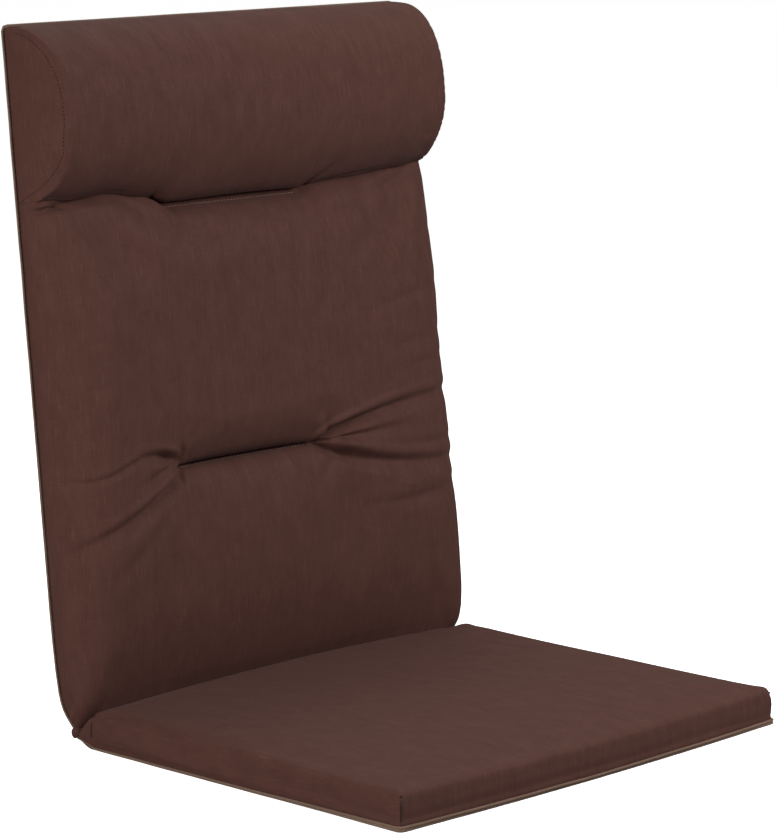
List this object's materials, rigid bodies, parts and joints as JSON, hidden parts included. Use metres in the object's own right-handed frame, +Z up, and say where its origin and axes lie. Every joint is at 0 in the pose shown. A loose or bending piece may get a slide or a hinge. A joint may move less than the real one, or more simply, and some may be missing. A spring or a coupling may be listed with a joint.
{
  "type": "high back chair cushion",
  "caption": "Filled seat and high back in one bent cushion, with a half-round head roll, sewn channel and taupe edge binding.",
  "frame": {"origin": "middle of the seat's flat underside, between its darts and its front edge", "axes": "+Z up the back, -Y towards the seat's front edge, +X across the cushion"},
  "size_m": [0.5062, 0.4984, 0.639],
  "materials": {
    "brown_cloth": "matt woven cover cloth, dark chocolate brown, with fine slubs along the cushion's length",
    "taupe_tape": "matt folded binding tape, taupe"
  },
  "bodies": {
    "root": {"seat_pad": "brown_cloth", "back_pad": "brown_cloth", "head_roll": "brown_cloth", "edge_binding": "taupe_tape"}
  },
  "joints": []
}
